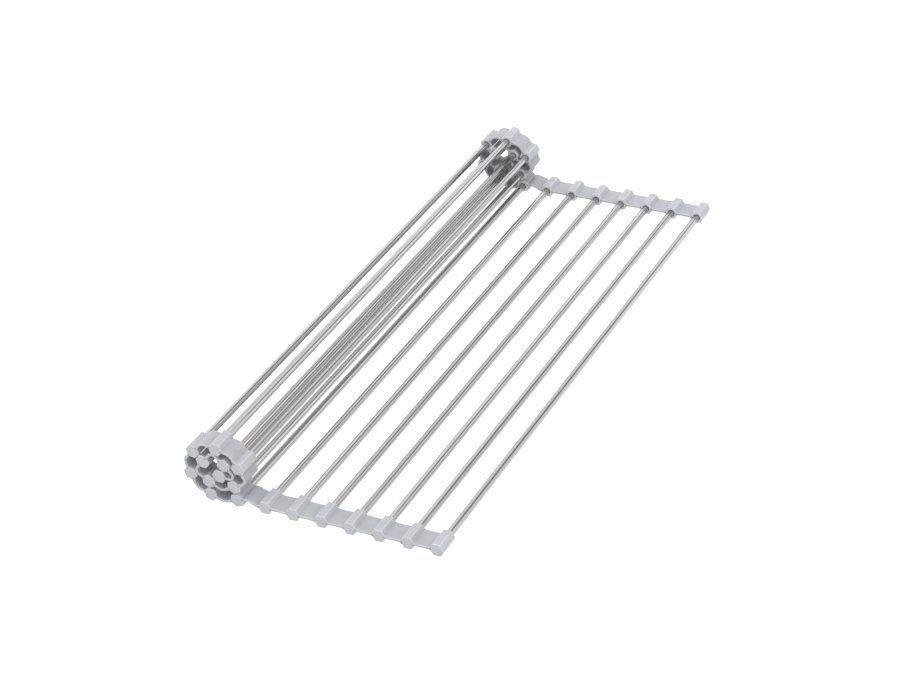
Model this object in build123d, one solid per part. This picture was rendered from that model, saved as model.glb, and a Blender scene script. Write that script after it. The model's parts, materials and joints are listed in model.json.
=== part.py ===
"""Roll-up over-the-sink drying rack, partly rolled: steel rods held in two flexible silicone end strips.

Y runs along the rods, X runs across them along the strips, and Z is up. Millimetres.
Link 1 is the free end of the flat part and the last link is the core of the coil.
"""

import os
from math import cos, radians, sin, sqrt

from build123d import *

# Overall
RACK_LENGTH = 445.0  # over the outer faces of the two strips
PITCH = 20.0  # rod to rod when the rack lies flat
FLAT_LINKS = 7  # links that lie flat in front of the coil

# Silicone strips
HEX_FLATS = 8.75  # across the flats of a socket
SOCKET_LENGTH = 16.0  # along the rod
BORE_DEPTH = 13.0  # blind bore from the socket's inner face
END_CHAMFER = 0.4
WEB_THICKNESS = 1.8
HINGE_GAP = 0.3  # between the two halves of a web, at the line where it flexes
HINGE_EDGE = 0.7  # thickness left at that line
HINGE_TAPER = 2.6  # length over which a half web thins towards it

# Rods
ROD_DIAMETER = 5.0
ROD_WALL = 0.5
ROD_FIT = 0.03  # radial clearance that stands for the silicone's grip
ROD_END_GAP = 0.2  # between a rod's end and the bottom of its bore

# How the rack is rolled. The first coil link stands on a corner, tilted back.
FIRST_TILT = 19
COIL_BENDS = [38, 52, 62, 59, 50, 90, 57, 101, 95, 139]  # degrees at each web, from the floor to the core
WRAP_BENDS = [97, 24, 24, 29, 29, 48]  # degrees that the flat part's webs reach when it is rolled too
FLEX_SHARE = 0.38  # share of the pitch over which a web really bends

HEX_CORNERS = HEX_FLATS / cos(radians(30))
HALF_PITCH = PITCH / 2
LINKS = FLAT_LINKS + 1 + len(COIL_BENDS)
ROD_LENGTH = RACK_LENGTH - 2 * (SOCKET_LENGTH - BORE_DEPTH + ROD_END_GAP)


def turned(x, z, angle):
    """The point (x, z) turned clockwise about the origin, as seen along +Y, by an angle in degrees."""
    c, s = cos(radians(angle)), sin(radians(angle))
    return c * x + s * z, c * z - s * x


def hinge_rise(bend):
    """Height of a web's bending line over its middle plane, so that two stiff halves reach as far as its arc."""
    half = radians(bend) / 2
    arc_reach = (1 - FLEX_SHARE) * cos(half) + FLEX_SHARE * sin(half) / half
    return PITCH * (arc_reach - cos(half)) / (2 * sin(half))


def corner_drop(tilt):
    """How far a tilted socket's lowest corner is under the bottom face of a level one."""
    lowest = max(sin(radians(60 * corner + abs(tilt))) for corner in range(6))
    return HEX_CORNERS / 2 * lowest - HEX_FLATS / 2


def first_tilt_line():
    """The line, from the first coil link's level centre, about which it both tilts back and rises to stand."""
    rise, c, s = corner_drop(FIRST_TILT), cos(radians(FIRST_TILT)), sin(radians(FIRST_TILT))
    return -s * rise / (2 * (1 - c)), rise / 2


def layout():
    """Each link's (x, z, tilt) and each joint's line (x, z), with the first coil link's level centre at (0, 0)."""
    places = {FLAT_LINKS + 1 - step: (step * PITCH, 0.0, 0.0) for step in range(1, FLAT_LINKS + 1)}
    lines = {}
    for link, bend in zip(range(FLAT_LINKS, 1, -1), WRAP_BENDS):
        lines[link, link - 1] = (places[link][0] + HALF_PITCH, hinge_rise(bend))

    link = FLAT_LINKS + 1
    lines[FLAT_LINKS, link] = first_tilt_line()
    x, z, tilt = 0.0, corner_drop(FIRST_TILT), -FIRST_TILT
    places[link] = (x, z, tilt)
    for bend in COIL_BENDS:
        rise = hinge_rise(bend)
        dx, dz = turned(-HALF_PITCH, rise, tilt)
        line = (x + dx, z + dz)
        tilt += bend
        dx, dz = turned(HALF_PITCH, rise, tilt)
        x, z = line[0] - dx, line[1] - dz
        lines[link, link + 1] = line
        link += 1
        places[link] = (x, z, tilt)
    return places, lines


def half_web_outline(side):
    """Section of a half web, from inside the socket to the bending line, on the socket's left (-1) or right (+1)."""
    root = side * HEX_FLATS / 4
    tip = side * (HALF_PITCH - HINGE_GAP / 2)
    top = WEB_THICKNESS / 2
    return [
        (root, top),
        (tip, top),
        (tip, top - HINGE_EDGE),
        (tip - side * HINGE_TAPER, -top),
        (root, -top),
    ]


def long_web_outline():
    """Section of the undivided web from the last flat link to just short of the first coil link's socket."""
    tip = -(PITCH - HEX_CORNERS / 2 - HINGE_GAP)
    top = WEB_THICKNESS / 2
    return [(-HEX_FLATS / 4, top), (tip, top), (tip, -top), (-HEX_FLATS / 4, -top)]


def web_outlines(link):
    """Sections of the webs that a link carries."""
    first_coil_link = FLAT_LINKS + 1
    outlines = []
    if link == FLAT_LINKS:
        outlines.append(long_web_outline())
    elif link < LINKS:
        outlines.append(half_web_outline(-1))
    if link not in (1, first_coil_link):
        outlines.append(half_web_outline(1))
    return outlines


def along_y(outline, length):
    """A prism of an outline in X and Z, from y = 0 to y = length."""
    face = Plane.XZ * make_face(Polyline(*outline, close=True))
    return extrude(face, amount=length, dir=(0, 1, 0))


def level_link(link):
    """A link of the near strip, level, with its outer face at y = 0 and its bore's axis on the Y axis."""
    corners = [(HEX_CORNERS / 2 * cos(radians(a)), HEX_CORNERS / 2 * sin(radians(a))) for a in range(0, 360, 60)]
    socket = along_y(corners, SOCKET_LENGTH)
    end_edges = socket.edges().filter_by(Axis.Y, reverse=True)
    socket = chamfer(end_edges, END_CHAMFER)
    for outline in web_outlines(link):
        socket += along_y(outline, SOCKET_LENGTH)
    bore = Cylinder(ROD_DIAMETER / 2 + ROD_FIT, BORE_DEPTH, align=(Align.CENTER, Align.CENTER, Align.MIN))
    bore = Rotation(-90, 0, 0) * bore
    return socket - Pos(0, SOCKET_LENGTH - BORE_DEPTH, 0) * bore


def level_rod():
    """A rod along Y, centred on the origin."""
    tube = Cylinder(ROD_DIAMETER / 2, ROD_LENGTH) - Cylinder(ROD_DIAMETER / 2 - ROD_WALL, ROD_LENGTH)
    return Rotation(90, 0, 0) * tube


def footprint_shift(places):
    """The move that puts the origin on the standing surface, in the middle of the rack's outline across the rods."""
    corners = []
    for x, z, tilt in places.values():
        for corner in range(6):
            dx, dz = turned(HEX_CORNERS / 2, 0, tilt + 60 * corner)
            corners.append((x + dx, z + dz))
    xs = [corner[0] for corner in corners]
    zs = [corner[1] for corner in corners]
    return -(min(xs) + max(xs)) / 2, -min(zs)


def placed():
    """layout() moved to the part's own origin."""
    places, lines = layout()
    shift_x, shift_z = footprint_shift(places)
    places = {link: (x + shift_x, z + shift_z, tilt) for link, (x, z, tilt) in places.items()}
    lines = {pair: (x + shift_x, z + shift_z) for pair, (x, z) in lines.items()}
    return places, lines


def main():
    os.makedirs("parts", exist_ok=True)
    places, lines = placed()
    for link, (x, z, tilt) in places.items():
        here = Pos(x, 0, z) * Rotation(0, tilt, 0)
        near = here * Pos(0, -RACK_LENGTH / 2, 0) * level_link(link)
        export_step(near, f"parts/near_link_{link:02d}.step")
        export_step(mirror(near, about=Plane.XZ), f"parts/far_link_{link:02d}.step")
        export_step(here * level_rod(), f"parts/rod_{link:02d}.step")
        print(f"link {link:2d}: x {x:7.2f}  z {z:6.2f}  tilt {tilt:4.0f}")


if __name__ == "__main__":
    main()
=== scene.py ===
# %% [markdown]
# # A roll-up drying rack, half rolled
# The rack is eighteen thin steel rods whose ends sit in two soft silicone strips. Each strip is one
# moulding: a row of hexagonal sockets joined by thin webs, and the webs bend, so that the rack rolls up
# like a mat. Here ten rods are rolled into a coil and eight lie in front of it. The engineering model
# cuts each strip into rigid links; this file gives the strips back their soft, continuous look and gives
# every surface its finish.

# %% Load the frame
import json
import math

import bmesh
import bpy
from mathutils import Matrix, Vector

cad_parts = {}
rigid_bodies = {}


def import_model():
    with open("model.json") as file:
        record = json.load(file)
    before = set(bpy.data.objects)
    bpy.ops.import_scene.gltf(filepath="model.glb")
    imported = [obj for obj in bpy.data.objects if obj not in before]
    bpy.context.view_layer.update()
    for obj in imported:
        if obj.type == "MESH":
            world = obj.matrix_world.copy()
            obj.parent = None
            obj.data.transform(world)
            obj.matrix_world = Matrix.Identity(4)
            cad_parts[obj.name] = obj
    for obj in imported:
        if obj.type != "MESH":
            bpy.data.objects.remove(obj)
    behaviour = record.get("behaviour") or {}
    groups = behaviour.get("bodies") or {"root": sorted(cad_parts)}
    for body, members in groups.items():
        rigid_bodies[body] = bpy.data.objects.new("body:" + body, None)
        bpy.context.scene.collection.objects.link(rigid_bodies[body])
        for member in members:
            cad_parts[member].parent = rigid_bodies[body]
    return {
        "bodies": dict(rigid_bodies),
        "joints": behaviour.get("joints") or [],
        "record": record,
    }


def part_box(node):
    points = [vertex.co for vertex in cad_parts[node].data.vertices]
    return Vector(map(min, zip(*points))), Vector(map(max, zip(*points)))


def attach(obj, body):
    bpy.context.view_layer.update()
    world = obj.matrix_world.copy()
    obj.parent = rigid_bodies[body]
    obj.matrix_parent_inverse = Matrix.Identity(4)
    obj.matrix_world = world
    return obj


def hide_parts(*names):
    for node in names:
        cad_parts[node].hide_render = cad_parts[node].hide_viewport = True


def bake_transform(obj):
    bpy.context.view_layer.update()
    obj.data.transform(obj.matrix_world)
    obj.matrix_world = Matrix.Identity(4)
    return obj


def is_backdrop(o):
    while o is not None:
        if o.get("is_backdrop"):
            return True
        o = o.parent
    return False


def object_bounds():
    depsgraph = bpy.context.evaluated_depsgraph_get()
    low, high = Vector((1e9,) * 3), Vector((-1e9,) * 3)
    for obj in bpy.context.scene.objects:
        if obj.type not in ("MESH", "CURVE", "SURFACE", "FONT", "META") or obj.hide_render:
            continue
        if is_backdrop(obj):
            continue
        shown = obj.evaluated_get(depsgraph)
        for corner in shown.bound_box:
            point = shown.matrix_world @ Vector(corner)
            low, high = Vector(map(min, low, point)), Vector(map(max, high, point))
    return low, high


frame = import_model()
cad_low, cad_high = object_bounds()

print("engineering model, mm:", [round(size * 1000, 1) for size in cad_high - cad_low])

# %% [markdown]
# ## Where everything is
# Nothing is placed by eye. A rod's box gives the middle of its link, and the joints that unroll the coil
# say how far each link is turned from its neighbour, because at their far end the rack is flat.

# %% Names and centres of the links
MM = 0.001
LINKS = len(frame["bodies"])


def body_name(link):
    return f"link_{link:02d}"


def link_number(body):
    return int(body.split("_")[1])


def centre(link):
    low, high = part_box(f"rod_{link:02d}")
    return (low + high) / 2


print(LINKS, "links, from x =", round(centre(1).x / MM, 1), "mm to x =", round(centre(LINKS).x / MM, 1), "mm")

# %% Tilts of the links
joint_of = {joint["child"]: joint for joint in frame["joints"]}
couplings = frame["record"]["behaviour"]["couplings"]
leader_of = {coupling["joint"]: coupling["follows"] for coupling in couplings}


def unrolls(joint):
    return "unroll" in (joint["name"], leader_of.get(joint["name"]))


def tilt(link):
    """How far a link is turned about Y from lying flat, in radians."""
    joint = joint_of.get(body_name(link))
    if joint is None or not unrolls(joint):
        return 0.0
    return tilt(link_number(joint["parent"])) - joint["axis"][1] * math.radians(joint["range_deg"][1])


def stand(link):
    """The matrix that carries a level link, drawn round the origin, to its place."""
    return Matrix.Translation(centre(link)) @ Matrix.Rotation(tilt(link), 4, "Y")


print("tilts, degrees:", [round(math.degrees(tilt(link))) for link in range(1, LINKS + 1)])

# %% Sizes that every piece needs
HEX_SIDES = 6
HEX_SLOPE = math.radians(60)  # of the four sloping sides, from level

low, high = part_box("near_link_01")
SOCKET_LENGTH = high.y - low.y
HEX_FLATS = high.z - low.z
HEX_CORNER = HEX_FLATS / 2 / math.cos(math.pi / HEX_SIDES)
OUTER_END = high.y - SOCKET_LENGTH
PITCH = centre(1).x - centre(2).x

low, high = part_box("rod_01")
ROD_RADIUS = (high.z - low.z) / 2
ROD_END = low.y
print("pitch", round(PITCH / MM, 2), "mm, rod", round(2 * ROD_RADIUS / MM, 2), "mm thick")
print("socket", round(HEX_FLATS / MM, 2), "x", round(SOCKET_LENGTH / MM, 2), "mm")

# %% [markdown]
# ## Turning a bmesh into a piece
# Every new piece is modelled round the origin with bmesh operators and then carried to its place by a
# matrix, so the object itself stays at the origin, unturned. Flat faces stay flat and rounded edges stay
# round because only edges sharper than a set angle are shaded sharp.

# %% Finish a piece
SHARP_ANGLE = math.radians(32)
SAME_POINT = 1e-6


def finish_piece(bm, name, material):
    """Makes the object of a finished bmesh, with its doubles merged and its faces pointing outwards."""
    bmesh.ops.remove_doubles(bm, verts=bm.verts, dist=SAME_POINT)
    bmesh.ops.recalc_face_normals(bm, faces=bm.faces)
    mesh = bpy.data.meshes.new(name)
    bm.to_mesh(mesh)
    bm.free()
    for polygon in mesh.polygons:
        polygon.use_smooth = True
    mesh.set_sharp_from_angle(angle=SHARP_ANGLE)
    mesh.materials.append(material)
    piece = bpy.data.objects.new(name, mesh)
    bpy.context.scene.collection.objects.link(piece)
    return piece


print("edges sharper than", round(math.degrees(SHARP_ANGLE)), "degrees are shaded sharp")

# %% [markdown]
# A moulded edge is never sharp. A bevel makes the rounding, and the bevel's narrow faces get a paler grey,
# a painted highlight for the light that such a rounding catches. Marking the bevel's own faces with a number
# lets the finish find them, which is simpler and steadier than asking the renderer where an edge is.

# %% Round edges and mark them
def round_off(bm, edges, radius, steps):
    """Bevels edges, and marks the narrow new faces so that the finish can paint a highlight on them."""
    rim = bm.faces.layers.float.get("rim") or bm.faces.layers.float.new("rim")
    rounded = bmesh.ops.bevel(
        bm,
        geom=edges,
        offset=radius,
        segments=steps,
        profile=0.5,
        affect="EDGES",
        material=-1,
        clamp_overlap=True,
    )
    for face in rounded["faces"]:
        face[rim] = 1.0


def moved_verts(drawn):
    """The new points of an extrusion."""
    return [item for item in drawn["geom"] if isinstance(item, bmesh.types.BMVert)]


# %% [markdown]
# ## Shader expressions
# A procedural finish is mostly arithmetic. Wrapping a node socket in a small class with the arithmetic
# operators lets the finish be written as a formula, and every operator adds one Math node. Everything
# else comes from one method, `node`, which takes a node's type, its settings and its socket values.

# %% The socket wrapper
class Signal:
    """A node's output that takes part in Python arithmetic."""

    def __init__(self, shader, socket):
        self.shader = shader
        self.socket = socket

    def maths(self, operation, left, right):
        return self.shader.node("ShaderNodeMath", {"operation": operation}, {0: left, 1: right})

    def __add__(self, other):
        return self.maths("ADD", self, other)

    def __radd__(self, other):
        return self.maths("ADD", other, self)

    def __sub__(self, other):
        return self.maths("SUBTRACT", self, other)

    def __rsub__(self, other):
        return self.maths("SUBTRACT", other, self)

    def __mul__(self, other):
        return self.maths("MULTIPLY", self, other)

    def __rmul__(self, other):
        return self.maths("MULTIPLY", other, self)

    def __abs__(self):
        return self.maths("ABSOLUTE", self, 0.0)


# %% The shader
MIX_SHARE, MIX_FIRST, MIX_SECOND, MIX_COLOUR = 0, 6, 7, 2  # the sockets of a Mix node that mixes colours


class Shader:
    """A material's or the sky's node tree: node() adds a node, and surface() sets the Principled shader."""

    def __init__(self, owner):
        self.owner = owner
        owner.use_nodes = True
        self.tree = owner.node_tree

    def feed(self, socket, value):
        if isinstance(value, Signal):
            self.tree.links.new(value.socket, socket)
        else:
            socket.default_value = value

    def node(self, kind, settings=None, sockets=None, output=0):
        """Adds a node: first its settings, a ramp's stops among them, then its sockets' values or links."""
        made = self.tree.nodes.new(kind)
        for key, value in (settings or {}).items():
            if key == "stops":
                self.place_stops(made.color_ramp.elements, value)
            else:
                setattr(made, key, value)
        for key, value in (sockets or {}).items():
            self.feed(made.inputs[key], value)
        return Signal(self, made.outputs[output])

    def place_stops(self, elements, stops):
        """Sets the two stops that a new ramp has, given as (position, grey)."""
        for index, (position, grey) in enumerate(stops):
            elements[index].position = position
            elements[index].color = (grey, grey, grey, 1.0)

    def contrast(self, value, low, high):
        """Black below low and white above high."""
        return self.node("ShaderNodeValToRGB", {"stops": [(low, 0.0), (high, 1.0)]}, {0: value})

    def pattern(self, scale, detail=2.0, roughness=0.5, stretch=(1.0, 1.0, 1.0)):
        """Noise on the object's own coordinates, its scale in features a metre, stretched along an axis."""
        place = self.node("ShaderNodeTexCoord", output="Object")
        mapped = self.node("ShaderNodeMapping", {}, {"Vector": place, "Scale": stretch})
        return self.node(
            "ShaderNodeTexNoise",
            {"noise_dimensions": "3D"},
            {"Vector": mapped, "Scale": scale, "Detail": detail, "Roughness": roughness},
        )

    def blend_colours(self, share, first, second):
        return self.node(
            "ShaderNodeMix",
            {"data_type": "RGBA"},
            {MIX_SHARE: share, MIX_FIRST: first, MIX_SECOND: second},
            output=MIX_COLOUR,
        )

    def bump(self, height, strength, distance, under=None):
        sockets = {"Height": height, "Strength": strength, "Distance": distance}
        if under is not None:
            sockets["Normal"] = under
        return self.node("ShaderNodeBump", {}, sockets)

    def surface(self, **sockets):
        for key, value in sockets.items():
            self.feed(self.tree.nodes["Principled BSDF"].inputs[key.replace("_", " ")], value)
        return self.owner


# %% [markdown]
# ## The silicone
# The strips are moulded in matt silicone, a cool pale grey. Silicone out of a spark-eroded mould has a
# very fine even grain that kills mirror reflections, and its colour is all through, so it has no paint
# edges. What breaks up the surface is a faint mottle of handling and dust, a painted highlight on the
# rounded edges, and a soft satin gloss. The finish comes in two greys, painted light and shade: a paler
# one on the raised sockets, and a darker one on the recessed webs between them.

# %% Silicone finish
# Two greys of one silicone: the paler is painted light on the sockets, the darker is painted shade on the
# webs.
SOCKET_LIT_GREYS = ((0.354, 0.36, 0.385, 1.0), (0.391, 0.398, 0.423, 1.0))
WEB_SHADED_GREYS = ((0.323, 0.329, 0.352, 1.0), (0.357, 0.363, 0.386, 1.0))
# The paler grey of the painted highlight on the rounded edges.
EDGE_HIGHLIGHT_GREY = (0.528, 0.532, 0.544, 1.0)
EDGE_HIGHLIGHT_SHARE = 0.7
MOTTLE_SCALE = 140.0
CLOUD_SCALE = 26.0
GRAIN_SCALE = 5200.0
GRAIN_STRENGTH = 0.22
GRAIN_DEPTH = 0.12 * MM
MOTTLE_STRENGTH = 0.10
MOTTLE_DEPTH = 0.6 * MM
SCATTER = 4 * MM


def silicone_finish(name, greys):
    shader = Shader(bpy.data.materials.new(name))
    mottle = shader.pattern(MOTTLE_SCALE, detail=4.0)
    cloud = shader.pattern(CLOUD_SCALE, detail=2.0)
    grain = shader.pattern(GRAIN_SCALE, detail=2.0)
    rim = shader.node("ShaderNodeAttribute", {"attribute_name": "rim"}, output="Fac")
    share = shader.contrast(mottle * 0.65 + cloud * 0.35, 0.35, 0.65)
    body = shader.blend_colours(share, *greys)
    grained = shader.bump(grain, GRAIN_STRENGTH, GRAIN_DEPTH)
    return shader.surface(
        # Painted highlight: the faces marked at the rounded edges are mixed towards a paler grey.
        Base_Color=shader.blend_colours(rim * EDGE_HIGHLIGHT_SHARE, body, EDGE_HIGHLIGHT_GREY),
        Roughness=0.46 + mottle * 0.16,
        Normal=shader.bump(mottle, MOTTLE_STRENGTH, MOTTLE_DEPTH, under=grained),
        Specular_IOR_Level=0.42,
        Subsurface_Weight=0.06,
        Subsurface_Radius=(SCATTER, SCATTER, SCATTER),
        Sheen_Weight=0.08,
        Sheen_Roughness=0.5,
    )


SILICONE = silicone_finish("silicone", SOCKET_LIT_GREYS)
SHADED_SILICONE = silicone_finish("shaded_silicone", WEB_SHADED_GREYS)
print("silicone nodes:", len(SILICONE.node_tree.nodes))

# %% [markdown]
# ## The drawn steel
# The rods are thin stainless tube, drawn through a die and left satin. Drawing leaves hair-fine streaks
# that run the whole length of the rod, so the noise is squeezed hard across the rod and stretched along
# Y. The streaks change the roughness, the colour and a very shallow bump. Stainless steel is a slightly
# warm grey.

# %% Steel finish
DARK_STEEL = (0.376, 0.366, 0.368, 1.0)
PALE_STEEL = (0.552, 0.542, 0.545, 1.0)
HAIR_STRETCH = (600.0, 1.6, 600.0)
STREAK_STRETCH = (260.0, 1.5, 260.0)
SMUDGE_SCALE = 38.0
SMUDGE_STRETCH = (1.0, 0.35, 1.0)
HAIR_STRENGTH = 0.05
HAIR_DEPTH = 0.05 * MM


def steel_finish():
    shader = Shader(bpy.data.materials.new("drawn_steel"))
    hairs = shader.pattern(1.0, detail=2.0, stretch=HAIR_STRETCH)
    streaks = shader.pattern(1.0, detail=1.0, stretch=STREAK_STRETCH)
    smudge = shader.pattern(SMUDGE_SCALE, detail=3.0, stretch=SMUDGE_STRETCH)
    share = shader.contrast(streaks * 0.7 + hairs * 0.3, 0.36, 0.64)
    return shader.surface(
        Base_Color=shader.blend_colours(share, DARK_STEEL, PALE_STEEL),
        Metallic=1.0,
        Roughness=0.11 + hairs * 0.05 + smudge * 0.06,
        Normal=shader.bump(hairs, HAIR_STRENGTH, HAIR_DEPTH),
    )


STEEL = steel_finish()
print("steel nodes:", len(STEEL.node_tree.nodes))

# %% [markdown]
# ## A socket
# Each rod's end is pushed into a blind socket, a short hexagonal block of silicone standing on a flat.
# It starts as a six-sided disc. Bevelling its corners rounds the long edges, extruding gives it length,
# and bevelling the two rims gives the fine light-catching edge that a mould leaves.

# %% Model a closed socket
CORNER_ROUND = 0.30 * MM
CORNER_STEPS = 3
RIM_ROUND = 0.42 * MM
RIM_STEPS = 3
LEVEL = 1e-7  # two heights closer than this, in metres, are the same


def socket_shape():
    """A level socket along Y, its closed outer face at y = 0 and its mouth at the other end."""
    bm = bmesh.new()
    bmesh.ops.create_circle(bm, cap_ends=True, segments=HEX_SIDES, radius=HEX_CORNER)
    bmesh.ops.rotate(bm, verts=bm.verts, cent=(0, 0, 0), matrix=Matrix.Rotation(math.pi / 2, 3, "Z"))
    bmesh.ops.bevel(
        bm,
        geom=bm.verts[:],
        offset=CORNER_ROUND,
        segments=CORNER_STEPS,
        profile=0.5,
        affect="VERTICES",
        material=-1,
    )
    bmesh.ops.rotate(bm, verts=bm.verts, cent=(0, 0, 0), matrix=Matrix.Rotation(math.pi / 2, 3, "X"))
    drawn = bmesh.ops.extrude_face_region(bm, geom=bm.faces[:])
    bmesh.ops.translate(bm, verts=moved_verts(drawn), vec=(0, SOCKET_LENGTH, 0))
    bmesh.ops.recalc_face_normals(bm, faces=bm.faces)
    # The narrow faces that round the long edges are marked for the painted highlight as well.
    rim = bm.faces.layers.float.new("rim")
    for face in bm.faces:
        face[rim] = 1.0 if face.calc_area() < CORNER_ROUND * SOCKET_LENGTH else 0.0
    rims = [edge for edge in bm.edges if abs(edge.verts[0].co.y - edge.verts[1].co.y) < LEVEL]
    round_off(bm, rims, RIM_ROUND, RIM_STEPS)
    open_mouth(bm)
    return bm


print("edges rounded by", round(CORNER_ROUND / MM, 2), "mm, rims by", round(RIM_ROUND / MM, 2), "mm")

# %% [markdown]
# The mouth grips the rod, with a small chamfer to lead it in. The inner face is taken out, a ring of as
# many points as its outline is bridged to that outline, and the ring is drawn inwards twice: once for
# the chamfer and once for the bore, which is closed a little beyond the rod's end.

# %% Open a socket's mouth
MOUTH_GAP = 0.03 * MM
MOUTH_CHAMFER = 0.25 * MM
BORE_SPARE = 0.2 * MM
BORE_DEPTH = OUTER_END + SOCKET_LENGTH - ROD_END + BORE_SPARE


def open_mouth(bm):
    """Replaces the flat inner face by a ring and a bore."""
    inner = max(bm.faces, key=lambda face: face.calc_center_median().y + face.calc_area())
    outline = inner.edges[:]
    bmesh.ops.delete(bm, geom=[inner], context="FACES_ONLY")
    ring = bmesh.ops.create_circle(
        bm,
        cap_ends=False,
        segments=len(outline),
        radius=ROD_RADIUS + MOUTH_GAP + MOUTH_CHAMFER,
        matrix=Matrix.Translation((0, SOCKET_LENGTH, 0)) @ Matrix.Rotation(math.pi / 2, 4, "X"),
    )
    edges = list({edge for vert in ring["verts"] for edge in vert.link_edges})
    bmesh.ops.bridge_loops(bm, edges=outline + edges)
    for depth in (MOUTH_CHAMFER, BORE_DEPTH):
        drawn = bmesh.ops.extrude_edge_only(bm, edges=edges)
        edges = [item for item in drawn["geom"] if isinstance(item, bmesh.types.BMEdge)]
        for vert in moved_verts(drawn):
            outward = Vector((vert.co.x, 0, vert.co.z)).normalized()
            vert.co = outward * (ROD_RADIUS + MOUTH_GAP) + Vector((0, SOCKET_LENGTH - depth, 0))
    bmesh.ops.contextual_create(bm, geom=edges)


print("bore", round(BORE_DEPTH / MM, 1), "mm deep in a socket of", round(SOCKET_LENGTH / MM, 1), "mm")


# %% Make the sockets
def make_sockets():
    """A near and a far socket on every link."""
    made = []
    for link in range(1, LINKS + 1):
        for end, turn in (("near", 0.0), ("far", math.pi)):
            bm = socket_shape()
            local = Matrix.Rotation(turn, 4, "Z") @ Matrix.Translation((0, -abs(OUTER_END), 0))
            bmesh.ops.transform(bm, matrix=stand(link) @ local, verts=bm.verts)
            # Sockets take the paler grey, painted light.
            piece = finish_piece(bm, f"{end}_socket_{link:02d}", SILICONE)
            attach(piece, body_name(link))
            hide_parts(f"{end}_link_{link:02d}")
            made.append(piece)
    return made


sockets = make_sockets()
print(len(sockets), "sockets of", len(sockets[0].data.polygons), "faces")

# %% [markdown]
# ## A web
# Between two sockets the moulding thins to a flexible web, with a small fillet where it grows out of
# each hexagon's corner. A web is drawn flat first: a plain bar, sliced across so that it can bend, whose
# ends flare out in a short arc until they meet the sloping faces of the hexagon.

# %% Sizes of a web
WEB_THICKNESS = 1.8 * MM
WEB_WAIST = 1.5 * MM
WEB_RIM = 0.28 * MM
WEB_RIM_STEPS = 2
FILLET = 0.8 * MM
FILLET_STEPS = 5
EMBED = 0.6 * MM
SLICES = 28
MEETING = HEX_CORNER - WEB_THICKNESS / 2 / math.tan(HEX_SLOPE)  # where the web's faces meet the hexagon
STRAIGHT_HALF = PITCH / 2 - MEETING - FILLET * math.tan(HEX_SLOPE / 2)
print("a web is straight for", round(2 * STRAIGHT_HALF / MM, 2), "mm between its fillets")

# %% Draw a flat web
RIM_FOLD = math.radians(40)


def flat_web_shape():
    """A web lying flat between two sockets at x = -PITCH / 2 and x = PITCH / 2, centred on y = 0."""
    bm = bmesh.new()
    bmesh.ops.create_cube(bm, size=1.0)
    bmesh.ops.scale(bm, verts=bm.verts, vec=(2 * STRAIGHT_HALF, SOCKET_LENGTH, WEB_THICKNESS))
    for number in range(1, SLICES):
        x = STRAIGHT_HALF * (2 * number / SLICES - 1)
        everything = bm.verts[:] + bm.edges[:] + bm.faces[:]
        bmesh.ops.bisect_plane(bm, geom=everything, plane_co=(x, 0, 0), plane_no=(1, 0, 0))
    for side in (-1, 1):
        flare_end(bm, side)
    for vert in bm.verts:
        if abs(vert.co.x) < STRAIGHT_HALF:
            bow = math.cos(math.pi / 2 * vert.co.x / STRAIGHT_HALF) ** 2
            vert.co.z *= 1 - bow * (1 - WEB_WAIST / WEB_THICKNESS)
    bmesh.ops.recalc_face_normals(bm, faces=bm.faces)
    # The rounded rims of the web get the painted highlight too.
    rims = [edge for edge in bm.edges if is_rim(edge)]
    round_off(bm, rims, WEB_RIM, WEB_RIM_STEPS)
    return bm


def flare_end(bm, side):
    """Extrudes one end of the bar through a fillet's arc and then a little way into the socket."""
    face = max(bm.faces, key=lambda candidate: candidate.calc_center_median().x * side)
    for step in range(1, FILLET_STEPS + 2):
        angle = HEX_SLOPE * min(step, FILLET_STEPS) / FILLET_STEPS
        x = STRAIGHT_HALF + FILLET * math.sin(angle) + (EMBED if step > FILLET_STEPS else 0)
        half = WEB_THICKNESS / 2 + FILLET * (1 - math.cos(angle))
        face = bmesh.ops.extrude_discrete_faces(bm, faces=[face])["faces"][0]
        for vert in face.verts:
            vert.co.x = side * x
            vert.co.z = math.copysign(half, vert.co.z)


def is_rim(edge):
    """A long edge at either end face of the strip."""
    ends = [vert.co for vert in edge.verts]
    at_end = all(abs(abs(co.y) - SOCKET_LENGTH / 2) < LEVEL for co in ends)
    return at_end and abs(ends[0].x - ends[1].x) > LEVEL and edge.calc_face_angle(0.0) > RIM_FOLD


sample = flat_web_shape()
print("flat web:", len(sample.faces), "faces")
sample.free()

# %% [markdown]
# ## Bending a web
# The web is drawn bent, as it stands at rest: a blend of an even arc, which suits the coil, where it is
# seen most, and a turn about the joint's line, so that the drawn shape lies between the two. An exact
# arc at rest would leave a hump when unrolled, and a web that unrolls exactly flat would bulge at rest,
# so the drawn shape lies between the two.

# %% Bend a web
FLEX_LENGTH = 0.38 * PITCH
BULGE_SHARE = 0.3


def smooth_share(distance):
    """0 at one end of the flexing length and 1 at the other, with soft ends."""
    t = min(max(distance / FLEX_LENGTH + 0.5, 0.0), 1.0)
    return t * t * (3 - 2 * t)


def on_arc(x, z, bend):
    """A point of the flat web on an even arc, as the socket at -x sees it."""
    start = -FLEX_LENGTH / 2
    if x <= start:
        return Vector((x, 0, z))
    along = min(x - start, FLEX_LENGTH)
    radius = FLEX_LENGTH / bend
    angle = along / radius
    spine = Vector((start + radius * math.sin(angle), 0, radius * (1 - math.cos(angle))))
    forward = Vector((math.cos(angle), 0, math.sin(angle)))
    return spine + forward * (x - start - along) + Vector((-math.sin(angle), 0, math.cos(angle))) * z


def on_hinge(x, z, bend, rise):
    """The same point turned about the joint's line by its smooth share of the bend."""
    angle = smooth_share(x) * bend
    return Vector((0, 0, rise)) + Matrix.Rotation(-angle, 3, "Y") @ Vector((x, 0, z - rise))


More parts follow.
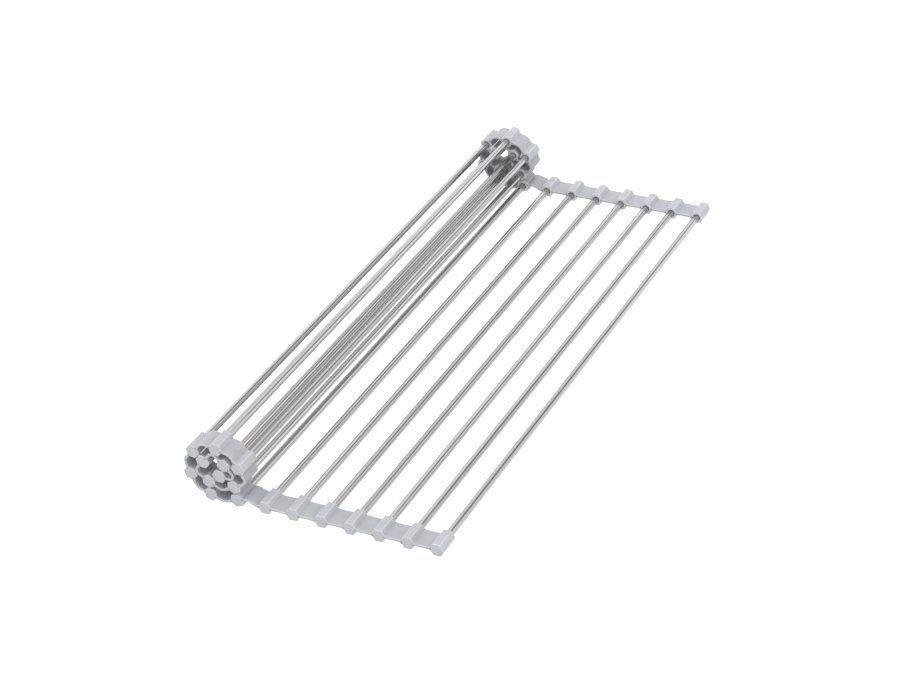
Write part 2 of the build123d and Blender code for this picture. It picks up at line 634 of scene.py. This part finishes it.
def bend_web(bm, bend, rise):
    """Bends a flat web upwards at its far side, about a line that lies rise over its middle."""
    for vert in bm.verts:
        y = vert.co.y
        arc = on_arc(vert.co.x, vert.co.z, bend)
        hinge = on_hinge(vert.co.x, vert.co.z, bend, rise)
        vert.co = arc.lerp(hinge, BULGE_SHARE)
        vert.co.y = y


print("a web bends over", round(FLEX_LENGTH / MM, 1), "mm of its pitch of", round(PITCH / MM, 1), "mm")

# %% [markdown]
# ## The three kinds of web
# Most webs of the coil bend one way, towards the middle of the coil. The web that leads into the coil
# bends in a shallow S, because the first link of the coil is tilted back. The webs of the flat part are
# straight. Each kind gives its mesh, the matrix that carries it to its place, and the two ends of the
# part where it bends.

# %% Shape a web for its joint
def web_in_coil(joint):
    """A web of the coil, as it stands at rest."""
    parent = link_number(joint["parent"])
    bend = math.radians(joint["range_deg"][1])
    line = stand(parent).inverted() @ Vector(joint["pos_m"])
    bm = flat_web_shape()
    bend_web(bm, bend, line.z)
    # The drawing bends up at +x, and the coil grows towards -x, so it is turned round.
    place = stand(parent) @ Matrix.Translation((-PITCH / 2, 0, 0)) @ Matrix.Rotation(math.pi, 4, "Z")
    start = place @ Vector((-FLEX_LENGTH / 2, 0, 0))
    end = place @ on_arc(FLEX_LENGTH / 2, 0, bend)
    return bm, place, start, end


def web_beside_coil(joint):
    """The web that bends in an S, between the flat part and the tilted first link of the coil."""
    parent, child = link_number(joint["parent"]), link_number(joint["child"])
    swing = tilt(child) - tilt(parent)
    line = Vector(joint["pos_m"])
    place = stand(parent) @ Matrix.Translation((-PITCH / 2, 0, 0))
    turn_back = place.inverted()
    bm = flat_web_shape()
    for vert in bm.verts:
        flat = place @ vert.co
        share = smooth_share(-vert.co.x * FLEX_LENGTH / (2 * STRAIGHT_HALF))
        vert.co = turn_back @ (line + Matrix.Rotation(share * swing, 3, "Y") @ (flat - line))
    start = place @ Vector((STRAIGHT_HALF, 0, 0))
    end = place @ Vector((-STRAIGHT_HALF, 0, 0))
    return bm, place, start, end


def web_in_flat(joint):
    """A straight web of the flat part."""
    parent = link_number(joint["parent"])
    place = stand(parent) @ Matrix.Translation((PITCH / 2, 0, 0))
    start = place @ Vector((-FLEX_LENGTH / 2, 0, 0))
    end = place @ Vector((FLEX_LENGTH / 2, 0, 0))
    return flat_web_shape(), place, start, end


def web_kind(joint):
    if not unrolls(joint):
        return web_in_flat
    return web_in_coil if joint["axis"][1] < 0 else web_beside_coil


kinds = [web_kind(joint).__name__ for joint in frame["joints"]]
print({kind: kinds.count(kind) for kind in kinds})


# %% Make the webs
def make_webs():
    """A near and a far web across every joint."""
    made = []
    for joint in frame["joints"]:
        for end, side in (("near", -1), ("far", 1)):
            bm, place, start, end_point = web_kind(joint)(joint)
            bmesh.ops.transform(bm, matrix=place, verts=bm.verts)
            bmesh.ops.translate(bm, verts=bm.verts, vec=(0, side * (abs(OUTER_END) - SOCKET_LENGTH / 2), 0))
            name = f"{end}_web_{joint['parent'][-2:]}_{joint['child'][-2:]}"
            # Webs take the darker grey, painted shade.
            piece = finish_piece(bm, name, SHADED_SILICONE)
            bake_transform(piece)
            made.append(piece)
    return made


webs = make_webs()
print(len(webs), "webs of", len(webs[0].data.polygons), "faces")

# %% [markdown]
# ## The rods
# A rod is thin-walled tube, cut square and deburred, with both ends hidden in their sockets. A ring
# between two circles is extruded into a tube, and the cut edges get a tiny bevel. Many sides matter more
# here than anywhere else, because a long polished cylinder shows every facet as a stripe in its
# reflections.

# %% Model a rod
ROD_SIDES = 64
ROD_WALL = 0.5 * MM
ROD_DEBURR = 0.12 * MM
DEBURR_STEPS = 2
CUT_FOLD = math.radians(60)


def rod_shape(length):
    """A tube along Y, centred on the origin."""
    bm = bmesh.new()
    for radius in (ROD_RADIUS, ROD_RADIUS - ROD_WALL):
        bmesh.ops.create_circle(bm, cap_ends=False, segments=ROD_SIDES, radius=radius)
    bmesh.ops.bridge_loops(bm, edges=bm.edges[:])
    bmesh.ops.rotate(bm, verts=bm.verts, cent=(0, 0, 0), matrix=Matrix.Rotation(math.pi / 2, 3, "X"))
    bmesh.ops.translate(bm, verts=bm.verts, vec=(0, -length / 2, 0))
    drawn = bmesh.ops.extrude_face_region(bm, geom=bm.faces[:])
    bmesh.ops.translate(bm, verts=moved_verts(drawn), vec=(0, length, 0))
    bmesh.ops.recalc_face_normals(bm, faces=bm.faces)
    bmesh.ops.bevel(
        bm,
        geom=[edge for edge in bm.edges if edge.calc_face_angle(0.0) > CUT_FOLD],
        offset=ROD_DEBURR,
        segments=DEBURR_STEPS,
        profile=0.5,
        affect="EDGES",
        material=-1,
    )
    return bm


print("tube of", ROD_SIDES, "sides, wall", round(ROD_WALL / MM, 2), "mm")


# %% Make the rods
def make_rods():
    """A rod on every link."""
    made = []
    for link in range(1, LINKS + 1):
        low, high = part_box(f"rod_{link:02d}")
        bm = rod_shape(high.y - low.y)
        bmesh.ops.transform(bm, matrix=stand(link), verts=bm.verts)
        piece = finish_piece(bm, f"steel_rod_{link:02d}", STEEL)
        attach(piece, body_name(link))
        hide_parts(f"rod_{link:02d}")
        made.append(piece)
    return made


rods = make_rods()
print(len(rods), "rods of", len(rods[0].data.polygons), "faces")

# %% [markdown]
# ## The floor
# The rack lies on a wide white sheet lit from underneath, as on a light table, which is the usual way to
# show a bright thing on a pure white ground. A plain matt floor with a glow of its own does the same:
# the glow fills in the shadows, and it gives the undersides of the rods something white to mirror.

# %% Floor
FLOOR_SIZE = 8.0
SHEET_GREY = (0.32, 0.32, 0.32, 1.0)
SHEET_GLOW = 0.86
WHITE = (1.0, 1.0, 1.0, 1.0)


def make_floor():
    shader = Shader(bpy.data.materials.new("white_sheet"))
    shader.surface(Base_Color=SHEET_GREY, Roughness=0.9, Specular_IOR_Level=0.0)
    shader.surface(Emission_Color=WHITE, Emission_Strength=SHEET_GLOW)
    bm = bmesh.new()
    bmesh.ops.create_grid(bm, x_segments=1, y_segments=1, size=FLOOR_SIZE / 2)
    mesh = bpy.data.meshes.new("floor")
    bm.to_mesh(mesh)
    bm.free()
    mesh.materials.append(shader.owner)
    floor = bpy.data.objects.new("floor", mesh)
    bpy.context.scene.collection.objects.link(floor)
    floor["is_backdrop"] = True


make_floor()
print("floor", FLOOR_SIZE, "m wide, glow", SHEET_GLOW)

# %% [markdown]
# ## The lamps
# Large soft lamps shade the silicone: a key lamp high over the rack and to its right, and a fill lamp
# low in front, which reaches the end faces. Neither stands behind the rack, because a lamp there would
# burn a white line into every rod.

# %% Key and fill lamps
LAMPS = {
    "key": ((0.55, -0.35, 2.20), 1.2, 15.0),
    "fill": ((1.00, -3.20, 1.80), 1.2, 15.0),
}


def make_lamp(name, place, size, power):
    """A square lamp at a place in metres, turned towards the rack."""
    lamp = bpy.data.lights.new(name, "AREA")
    lamp.size = size
    lamp.energy = power
    holder = bpy.data.objects.new(name, lamp)
    holder.location = place
    holder.rotation_euler = (-Vector(place)).to_track_quat("-Z", "Y").to_euler()
    bpy.context.scene.collection.objects.link(holder)


for name, (place, size, power) in LAMPS.items():
    make_lamp(name, place, size, power)
    print(name, "lamp:", round(Vector(place).length, 2), "m away,", power, "W")

# %% [markdown]
# The far end is a little further from every lamp, so it would look duller than the near end. A spot lamp
# straight above it, narrow enough to miss most of the rods, evens the two ends out, as a small reflector
# does in a studio. Its cone is worked out from its height and the circle that it has to cover.

# %% Light on the far end
SPOT_HEIGHT = 1.5
SPOT_BEYOND = 0.04
SPOT_RADIUS = 0.11
SPOT_EDGE = 0.6
SPOT_SOFTNESS = 0.12
SPOT_POWER = 22.0


def make_far_spot():
    middle = Vector((0.0, cad_high.y + SPOT_BEYOND, 0.0))
    spot = bpy.data.lights.new("far_spot", "SPOT")
    spot.spot_size = 2 * math.atan(SPOT_RADIUS / SPOT_HEIGHT)
    spot.spot_blend = SPOT_EDGE
    spot.shadow_soft_size = SPOT_SOFTNESS
    spot.energy = SPOT_POWER
    holder = bpy.data.objects.new("far_spot", spot)
    holder.location = middle + Vector((0.0, 0.0, SPOT_HEIGHT))
    bpy.context.scene.collection.objects.link(holder)
    return spot


far_spot = make_far_spot()
print("far spot: cone of", round(math.degrees(far_spot.spot_size), 1), "degrees")

# %% [markdown]
# ## The light tent
# A polished cylinder shows only what it mirrors. In a plain white tent the rods would be plain white
# too, so black flags hang in the tent parallel to the rods, and every rod mirrors them as dark lines
# along its length. The world shader is the tent. The direction across the rods finds the flags. The
# direction along the rods fades them out over the middle, where they would only darken the tops of the
# sockets. A ray straight from the camera sees plain white.

# %% Light tent
TENT_GLOW = 1.35
FLAG_START = 0.25
FLAG_FADE = 0.2
FLAGS = ((64.0, 15.0, 8.0, 0.72), (-2.0, 5.0, 5.0, 0.35))  # angle, half width and edge in degrees, dimming


def smooth_step(shader, value, low, high):
    """0 below low and 1 above high, with a soft step between."""
    return shader.node(
        "ShaderNodeMapRange",
        {"interpolation_type": "SMOOTHSTEP"},
        {"Value": value, "From Min": low, "From Max": high},
    )


def make_tent():
    shader = Shader(bpy.data.worlds.new("light_tent"))
    way = shader.node("ShaderNodeTexCoord", output="Generated")
    across = shader.node("ShaderNodeVectorMath", {"operation": "MULTIPLY"}, {0: way, 1: (1.0, 0.0, 1.0)})
    unit = shader.node("ShaderNodeVectorMath", {"operation": "NORMALIZE"}, {0: across})
    reach = shader.node("ShaderNodeSeparateXYZ", {}, {0: way}, output="Y")
    beyond = smooth_step(shader, abs(reach), FLAG_START, FLAG_START + FLAG_FADE)
    glow = 1.0
    for angle, half_width, edge, dimming in FLAGS:
        middle = (math.cos(math.radians(angle)), 0.0, math.sin(math.radians(angle)))
        near = shader.node(
            "ShaderNodeVectorMath", {"operation": "DOT_PRODUCT"}, {0: unit, 1: middle}, output="Value"
        )
        outer = math.cos(math.radians(half_width + edge))
        inner = math.cos(math.radians(half_width))
        glow = glow * (1 - smooth_step(shader, near, outer, inner) * beyond * dimming)
    seen = shader.node("ShaderNodeLightPath", output="Is Camera Ray")
    background = shader.tree.nodes["Background"]
    shader.feed(background.inputs["Color"], WHITE)
    shader.feed(background.inputs["Strength"], glow * TENT_GLOW * (1 - seen) + seen)
    bpy.context.scene.world = shader.owner


make_tent()
bpy.context.scene.view_settings.view_transform = "Standard"
print("light tent with", len(FLAGS), "flags")

# %% [markdown]
# ## The camera
# A long lens from far away keeps the rods nearly parallel. The camera's distance is a number of pitches,
# so the view stays the same if the rack is made larger or smaller. It looks at a point near the middle
# of the rack, at the height of the rods, and is rolled a few degrees, as a camera held by hand is.

# %% Camera
AZIMUTH = math.radians(28.41)
ELEVATION = math.radians(32.27)
ROLL = math.radians(-4.43)
DISTANCE = 85.68 * PITCH
FOCAL_SHARE = 2.763396  # focal length over the width of the sensor
SENSOR_WIDTH = 36.0
CLIP_END = 50.0
AIM = Vector((-8.60 * MM, -5.36 * MM, HEX_FLATS / 2))


def make_camera():
    data = bpy.data.cameras.new("camera")
    data.sensor_width = SENSOR_WIDTH
    data.lens = FOCAL_SHARE * SENSOR_WIDTH
    data.clip_end = CLIP_END
    camera = bpy.data.objects.new("camera", data)
    across, up_part = math.cos(ELEVATION), math.sin(ELEVATION)
    back = Vector((math.sin(AZIMUTH) * across, -math.cos(AZIMUTH) * across, up_part))
    camera.location = AIM + back * DISTANCE
    turn = (-back).to_track_quat("-Z", "Y").to_matrix() @ Matrix.Rotation(ROLL, 3, "Z")
    camera.rotation_mode = "QUATERNION"
    camera.rotation_quaternion = turn.to_quaternion()
    bpy.context.scene.collection.objects.link(camera)
    bpy.context.scene.camera = camera


make_camera()
print("camera", round(DISTANCE, 2), "m away, lens", round(FOCAL_SHARE * SENSOR_WIDTH), "mm")

# %% [markdown]
# ## Sizes, and the end
# The finished rack's size is printed, as the engineering model's was at the start.

# %% Write the sizes and finish
low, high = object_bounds()
print("visual model, mm:", [round(size * 1000, 1) for size in high - low])
